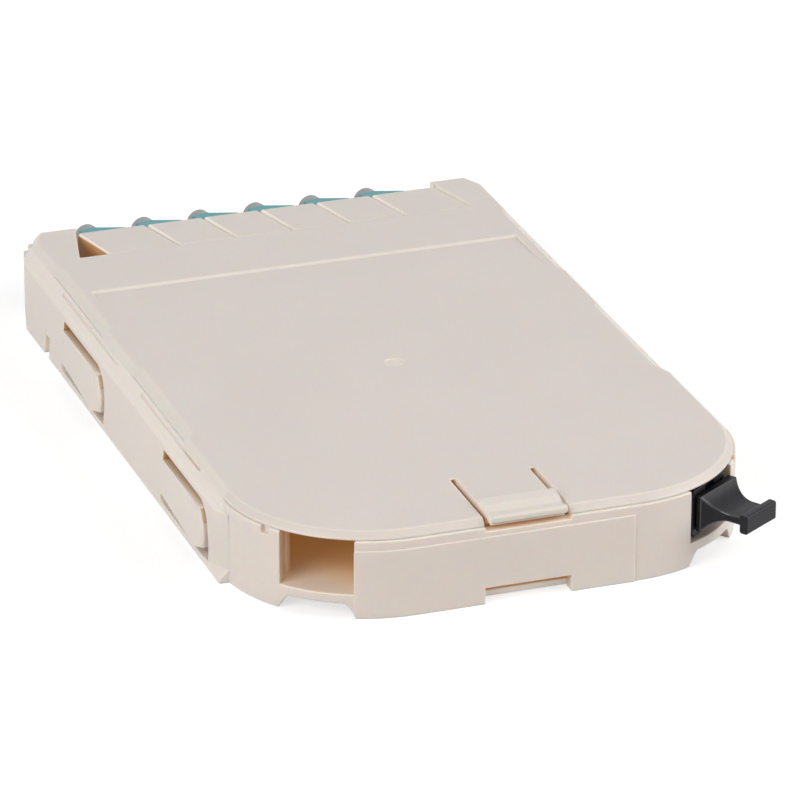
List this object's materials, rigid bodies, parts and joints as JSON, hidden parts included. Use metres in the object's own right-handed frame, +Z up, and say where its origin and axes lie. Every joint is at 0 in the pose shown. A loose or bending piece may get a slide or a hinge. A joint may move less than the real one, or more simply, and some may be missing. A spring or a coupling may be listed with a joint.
{
  "type": "fibre optic coupler module",
  "caption": "Flat moulded fibre cassette with angled duplex couplers and dust caps along the front, trunk ports in round rear corners and a rear latch.",
  "frame": {"origin": "under the middle of the part, on the plane of its skirt edge", "axes": "+Z up through the top plate; the duplex couplers face -Y, the trunk ports and the latch are at +Y; +X is the side with the empty trunk port"},
  "size_m": [0.1112, 0.1828, 0.0189],
  "materials": {
    "ivory": "fine matt texture",
    "ivory_cover": "fine matt texture",
    "aqua": "satin",
    "cap_grey": "soft satin",
    "black": "satin",
    "plug_beige": "satin",
    "boot": "matt",
    "lead": "smooth jacket",
    "ceramic": "polished"
  },
  "bodies": {
    "module": {"base_tray": "ivory", "top_cover": "ivory_cover", "mpo_adapter": "black", "trunk_plug": "aqua", "trunk_boot": "boot", "trunk_lead": "lead", "fanout_block": "black", "fibre_leads": "lead", "alignment_sleeves": "ceramic", "lc_adapter_1": "aqua", "lc_plug_pair_1": "plug_beige", "lc_adapter_2": "aqua", "lc_plug_pair_2": "plug_beige", "lc_adapter_3": "aqua", "lc_plug_pair_3": "plug_beige", "lc_adapter_4": "aqua", "lc_plug_pair_4": "plug_beige", "lc_adapter_5": "aqua", "lc_plug_pair_5": "plug_beige", "lc_adapter_6": "aqua", "lc_plug_pair_6": "plug_beige"},
    "dust_cap_1": {"lc_dust_cap_1": "cap_grey"},
    "dust_cap_2": {"lc_dust_cap_2": "cap_grey"},
    "dust_cap_3": {"lc_dust_cap_3": "cap_grey"},
    "dust_cap_4": {"lc_dust_cap_4": "cap_grey"},
    "dust_cap_5": {"lc_dust_cap_5": "cap_grey"},
    "dust_cap_6": {"lc_dust_cap_6": "cap_grey"},
    "pull_cap": {"mpo_dust_cap": "black"}
  },
  "joints": [
    {"name": "dust_cap_1_pull", "type": "slide", "parent": "module", "child": "dust_cap_1", "axis": [0.2419, -0.9703, 0], "range_m": [0, 0.014]},
    {"name": "dust_cap_2_pull", "type": "slide", "parent": "module", "child": "dust_cap_2", "axis": [0.2419, -0.9703, 0], "range_m": [0, 0.014]},
    {"name": "dust_cap_3_pull", "type": "slide", "parent": "module", "child": "dust_cap_3", "axis": [0.2419, -0.9703, 0], "range_m": [0, 0.014]},
    {"name": "dust_cap_4_pull", "type": "slide", "parent": "module", "child": "dust_cap_4", "axis": [0.2419, -0.9703, 0], "range_m": [0, 0.014]},
    {"name": "dust_cap_5_pull", "type": "slide", "parent": "module", "child": "dust_cap_5", "axis": [0.2419, -0.9703, 0], "range_m": [0, 0.014]},
    {"name": "dust_cap_6_pull", "type": "slide", "parent": "module", "child": "dust_cap_6", "axis": [0.2419, -0.9703, 0], "range_m": [0, 0.014]},
    {"name": "pull_cap_pull", "type": "slide", "parent": "module", "child": "pull_cap", "axis": [-0.6157, 0.788, 0], "range_m": [0, 0.014]}
  ]
}
